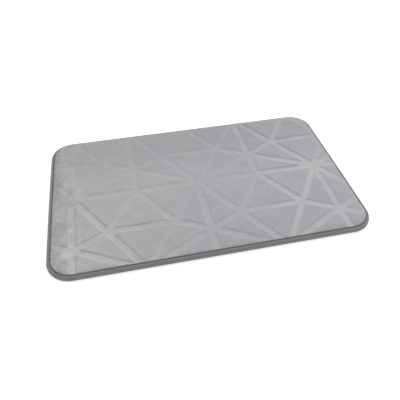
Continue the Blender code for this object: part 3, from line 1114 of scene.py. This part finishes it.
# %% The tree that sews
def stitch_tree():
    tree, given, result = geometry_tree(
        "lockstitches",
        ("Stitch Length", FLOAT, 0.003),
        ("Thread Radius", FLOAT, 0.0002),
        ("Arch", FLOAT, 0.0004),
    )
    inputs = {"Curve": given["Geometry"], "Length": given["Stitch Length"]}
    path = add_node(tree, "GeometryNodeResampleCurve", inputs, mode="LENGTH")["Curve"]

    # One short arch of thread, whose ends dive below the seam's path.
    half = product(tree, given["Stitch Length"], 0.46)
    ends = {"Resolution": 6}
    for label, side, rise in (("Start", -1.0, -0.5), ("Middle", 0.0, 1.0), ("End", 1.0, -0.5)):
        place = {"X": product(tree, half, side), "Z": product(tree, given["Arch"], rise)}
        ends[label] = add_node(tree, "ShaderNodeCombineXYZ", place)[0]
    arch = add_node(tree, "GeometryNodeCurveQuadraticBezier", ends)["Curve"]
    round_thread = {"Resolution": 6, "Radius": given["Thread Radius"]}
    circle = add_node(tree, "GeometryNodeCurvePrimitiveCircle", round_thread, mode="RADIUS")["Curve"]
    inputs = {"Curve": arch, "Profile Curve": circle, "Fill Caps": True}
    thread = add_node(tree, "GeometryNodeCurveToMesh", inputs)["Mesh"]
    tangent = add_node(tree, "GeometryNodeInputTangent")[0]
    turned = add_node(tree, "FunctionNodeAlignRotationToVector", {"Vector": tangent}, axis="X")[0]
    inputs = {"Points": path, "Instance": thread, "Rotation": turned}
    sewn = add_node(tree, "GeometryNodeInstanceOnPoints", inputs)["Instances"]
    return finish_tree(tree, sewn, given, result)


STITCHES = stitch_tree()
STITCH_ARCH = 0.5 * MM


def seam_path(name, height):
    """The seam as a closed curve at one height."""
    curve = bpy.data.curves.new(name, "CURVE")
    curve.dimensions = "3D"
    spline = curve.splines.new("POLY")
    points = tape_stations[::3]
    spline.points.add(len(points) - 1)
    for target, (x, y, out_x, out_y, _) in zip(spline.points, points):
        target.co = (x - out_x * THREAD_INSET, y - out_y * THREAD_INSET, height, 1.0)
    spline.use_cyclic_u = True
    return link(bpy.data.objects.new(name, curve))


def sew(name, height, arch):
    """A row of stitches at that height, arched up, or down where arch is negative."""
    values = {"Stitch_Length": STITCH_LENGTH, "Thread_Radius": THREAD_RADIUS, "Arch": arch}
    return count(smooth(run_tree(seam_path(name, height), STITCHES, Material=THREAD, **values)))


needle_row = sew("needle_stitches", TAPE_HIGH - SEAM_SINK + THREAD_RADIUS, STITCH_ARCH)
bobbin_row = sew("bobbin_stitches", TAPE_LOW + SEAM_SINK - THREAD_RADIUS, -STITCH_ARCH)

# %% [markdown]
# ## The backing and its grip dots
#
# The backing is a thin cloth that dips towards the floor inside the tape, and carries rows
# of rubber dots. Some five thousand dots are one small truncated cone, copied by Geometry
# Nodes over a staggered grid, without those that would fall past the edge or on the label.

# %% The backing cloth
DOT_HEIGHT = 0.9 * MM
BACKING_LINES = 41


def backing_sheet():
    halves = (HALF_LENGTH - SEAM_INSET, HALF_WIDTH - SEAM_INSET)
    xs, ys = (np.linspace(-half, half, BACKING_LINES) for half in halves)
    x, y, _ = rounded_grid(xs, ys, SEAM_INSET)
    points = np.column_stack([x, y, np.full_like(x, CLOTH_HIGH)])
    sheet = object_from("backing_sheet", points.tolist(), grid_faces(BACKING_LINES, BACKING_LINES))
    turns = [
        (SEAM_INSET, CLOTH_LOW),
        (MOUTH_INSET + 0.6 * MM, CLOTH_LOW),
        (MOUTH_INSET + 2.5 * MM, DOT_HEIGHT),
    ]
    close_underneath(sheet, turns)
    return sheet


backing = backing_sheet()
backing.data.materials.append(BACKING)
count(backing)


# %% The tree that sets the dots
def past_corner(tree, place, given):
    """True outside a rounded rectangle, whose corners are arcs of the given radius."""
    squares = []
    for axis, half in (("X", "Half Length"), ("Y", "Half Width")):
        straight = maths(tree, "SUBTRACT", given[half], given["Corner Radius"])
        reach = maths(tree, "SUBTRACT", maths(tree, "ABSOLUTE", place[axis]), straight)
        past = maths(tree, "MAXIMUM", reach, 0.0)
        squares.append(product(tree, past, past))
    corner = maths(tree, "SQRT", maths(tree, "ADD", *squares))
    return maths(tree, "GREATER_THAN", corner, given["Corner Radius"])


def over_label(tree, position, given):
    """True where a dot would touch the label."""
    away = axes(tree, vector_maths(tree, "SUBTRACT", position, given["Label"])[0])
    half = axes(tree, given["Label Half Size"])
    near = (maths(tree, "LESS_THAN", maths(tree, "ABSOLUTE", away[i]), half[i]) for i in "XY")
    return product(tree, *near)


def staggered_grid(tree, place, given):
    """A grid of points with every other row shifted by half a pitch."""
    row_height = product(tree, given["Pitch"], math.sqrt(3) / 2)
    size = {}
    for label, half, step in (("X", "Half Length", given["Pitch"]), ("Y", "Half Width", row_height)):
        wanted = product(tree, given[half], 2.0)
        steps = maths(tree, "FLOOR", maths(tree, "DIVIDE", wanted, step))
        size[f"Vertices {label}"] = maths(tree, "ADD", steps, 1.0)
        size[f"Size {label}"] = product(tree, steps, step)
    grid = add_node(tree, "GeometryNodeMeshGrid", size)["Mesh"]
    row = maths(tree, "ROUND", maths(tree, "DIVIDE", place["Y"], row_height))
    odd = maths(tree, "FLOORED_MODULO", row, 2.0)
    shift = {"X": product(tree, odd, product(tree, given["Pitch"], 0.5))}
    inputs = {"Geometry": grid, "Offset": add_node(tree, "ShaderNodeCombineXYZ", shift)[0]}
    return add_node(tree, "GeometryNodeSetPosition", inputs)["Geometry"]


def dot_tree():
    tree, given, result = geometry_tree(
        "grip_dots",
        ("Pitch", FLOAT, 0.009),
        ("Dot Radius", FLOAT, 0.0016),
        ("Dot Height", FLOAT, 0.001),
        ("Half Length", FLOAT, 0.38),
        ("Half Width", FLOAT, 0.23),
        ("Corner Radius", FLOAT, 0.04),
        ("Label", VECTOR),
        ("Label Half Size", VECTOR),
    )
    position = add_node(tree, "GeometryNodeInputPosition")[0]
    place = axes(tree, position)
    outside, on_label = past_corner(tree, place, given), over_label(tree, position, given)
    inputs = {
        "Geometry": staggered_grid(tree, place, given),
        "Selection": maths(tree, "MAXIMUM", outside, on_label),
    }
    kept = add_node(tree, "GeometryNodeDeleteGeometry", inputs, domain="POINT")["Geometry"]
    cone = {
        "Vertices": 8,
        "Radius Top": given["Dot Radius"],
        "Radius Bottom": product(tree, given["Dot Radius"], 0.62),
        "Depth": given["Dot Height"],
    }
    dot = add_node(tree, "GeometryNodeMeshCone", cone)["Mesh"]
    inputs = {"Points": kept, "Instance": dot}
    printed = add_node(tree, "GeometryNodeInstanceOnPoints", inputs)["Instances"]
    return finish_tree(tree, printed, given, result)


# %% Print the dots
label_low, label_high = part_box("care_label")
label_centre = (label_low + label_high) / 2
DOT_RADIUS = 1.6 * MM
DOT_PITCH = 9 * MM
DOT_SINK = 0.2 * MM
DOT_EDGE = MOUTH_INSET + 4 * MM
dots = link(bpy.data.objects.new("grip_dots", bpy.data.meshes.new("grip_dots")))
dots = run_tree(
    dots,
    dot_tree(),
    Pitch=DOT_PITCH,
    Dot_Radius=DOT_RADIUS,
    Dot_Height=DOT_HEIGHT + DOT_SINK,
    Half_Length=HALF_LENGTH - DOT_EDGE,
    Half_Width=HALF_WIDTH - DOT_EDGE,
    Corner_Radius=CORNER_RADIUS - DOT_EDGE,
    Label=(label_centre.x, label_centre.y, 0.0),
    Label_Half_Size=tuple((label_high - label_low) / 2 + Vector((DOT_RADIUS,) * 3)),
    Material=GRIP,
)
count(smooth(dots))

# %% [markdown]
# ## The care label
#
# The label is a short ribbon folded in half with its ends caught in the seam. It is
# blank. It is thin, so the round fold at its free end is all its shape.


# %% Fold the label
def care_label():
    """Two plies joined by a round fold at the free end."""
    low, high = label_low, label_high
    ply = (high.z - low.z) * 0.4
    middle = (low.z + high.z) / 2
    turns = 5
    fold = [math.pi / 2 + math.pi * step / turns for step in range(turns + 1)]
    outer = (high.z - low.z) / 2
    inner = outer - ply
    profile = [(high.x, high.z)]
    profile += [(low.x + outer + outer * math.cos(a), middle + outer * math.sin(a)) for a in fold]
    profile += [(high.x, low.z), (high.x, low.z + ply)]
    profile += [
        (low.x + outer + inner * math.cos(a), middle + inner * math.sin(a)) for a in reversed(fold)
    ]
    profile += [(high.x, high.z - ply)]
    columns = 16
    size = len(profile)
    places = np.linspace(low.y, high.y, columns + 1)
    points = [(x, y, z) for y in places for x, z in profile]
    faces = swept_faces(size, columns + 1, closed=False)
    faces += [tuple(range(size)), tuple(range(columns * size, columns * size + size))]
    label = object_from("folded_label", points, faces)
    work = bmesh.new()
    work.from_mesh(label.data)
    bmesh.ops.recalc_face_normals(work, faces=work.faces)
    work.to_mesh(label.data)
    work.free()
    return label


label = care_label()
label.data.materials.append(LABEL)
count(label)

# %% [markdown]
# ## The bowed ends
#
# A sewn mat never lies as a true rectangle: its short ends bow out a little in the middle,
# where nothing holds them. Every made piece is bent by the same small amount, so their
# fits stay as they were. A Simple Deform modifier can't bend both ends outwards at once.

# %% Bow the ends
BOW = 1.6 * MM


def bow_ends(obj):
    flat = np.empty(3 * len(obj.data.vertices))
    obj.data.vertices.foreach_get("co", flat)
    points = flat.reshape(-1, 3)
    across = np.clip(np.abs(points[:, 1]) / HALF_WIDTH, 0.0, 1.0)
    points[:, 0] += BOW * (1 - across**2) * (points[:, 0] / HALF_LENGTH) ** 3
    obj.data.vertices.foreach_set("co", points.ravel())
    obj.data.update()


for piece in (plush, tape, needle_row, bobbin_row, backing, dots, label):
    bow_ends(piece)

# %% [markdown]
# ## Hang each piece on the mat's body
#
# Every piece rides on the mat's one body, and the imported solid it stands for is hidden.
# The table lists that solid and a finish for each piece. The cushioned face is padded;
# tape, backing and label are sheets, and the tape's width is its section's length.

roles = {
    plush: ("plush_cover", "plush"),
    tape: ("edge_binding", "tape"),
    needle_row: ("needle_thread", "thread"),
    bobbin_row: ("bobbin_thread", "thread"),
    backing: ("backing_cloth", "backing"),
    dots: ("grip_coat", "grip"),
    label: ("care_label", "label"),
}
for piece, (node, slot) in roles.items():
    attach(piece, "root")
    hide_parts(node)

# %% [markdown]
# ## Floor, light and camera
#
# The floor is plain and pale. One large soft light stands behind the mat on the right, so
# the walls of the channels that face the viewer fall into thin shadow, and a white sky
# fills the rest.


# %% The floor
def pale_floor():
    size = 12.0
    corners = [(-size, -size, 0.0), (size, -size, 0.0), (size, size, 0.0), (-size, size, 0.0)]
    floor = object_from("floor", corners, [(0, 1, 2, 3)])
    material, _, surface = new_material("floor_white", 0.9)
    surface["Base Color"].default_value = (0.93, 0.93, 0.93, 1.0)
    surface["Emission Color"].default_value = (1.0, 1.0, 1.0, 1.0)
    surface["Emission Strength"].default_value = 0.5
    floor.data.materials.append(material)
    return floor


pale_floor()


# %% The lights
def soft_light(name, place, size, power, target=(0.0, 0.0, 0.0)):
    light = bpy.data.lights.new(name, "AREA")
    light.shape = "DISK"
    light.size = size
    light.energy = power
    lamp = link(bpy.data.objects.new(name, light))
    lamp.location = place
    direction = Vector(target) - Vector(place)
    lamp.rotation_euler = direction.to_track_quat("-Z", "Y").to_euler()
    return lamp


soft_light("key_back_right", (2.4, 3.3, 3.6), 1.9, 230.0)
world = bpy.data.worlds.new("studio")
world.use_nodes = True
world.node_tree.nodes["Background"].inputs["Color"].default_value = (1.0, 1.0, 1.0, 1.0)
world.node_tree.nodes["Background"].inputs["Strength"].default_value = 0.75
bpy.context.scene.world = world
bpy.context.scene.view_settings.view_transform = "Standard"


# %% The camera
def view_camera():
    camera = bpy.data.cameras.new("view")
    camera.sensor_width = 36.0
    camera.lens = 37.92
    holder = link(bpy.data.objects.new("view", camera))
    azimuth, elevation, roll = map(math.radians, (-11.89, 45.10, -0.19))
    turned = Matrix.Rotation(azimuth, 4, "Z") @ Matrix.Rotation(math.pi / 2 - elevation, 4, "X")
    place = Matrix.Translation((-0.1735, -0.8327, 0.7974))
    holder.matrix_world = place @ turned @ Matrix.Rotation(roll, 4, "Z")
    return holder


bpy.context.scene.camera = view_camera()
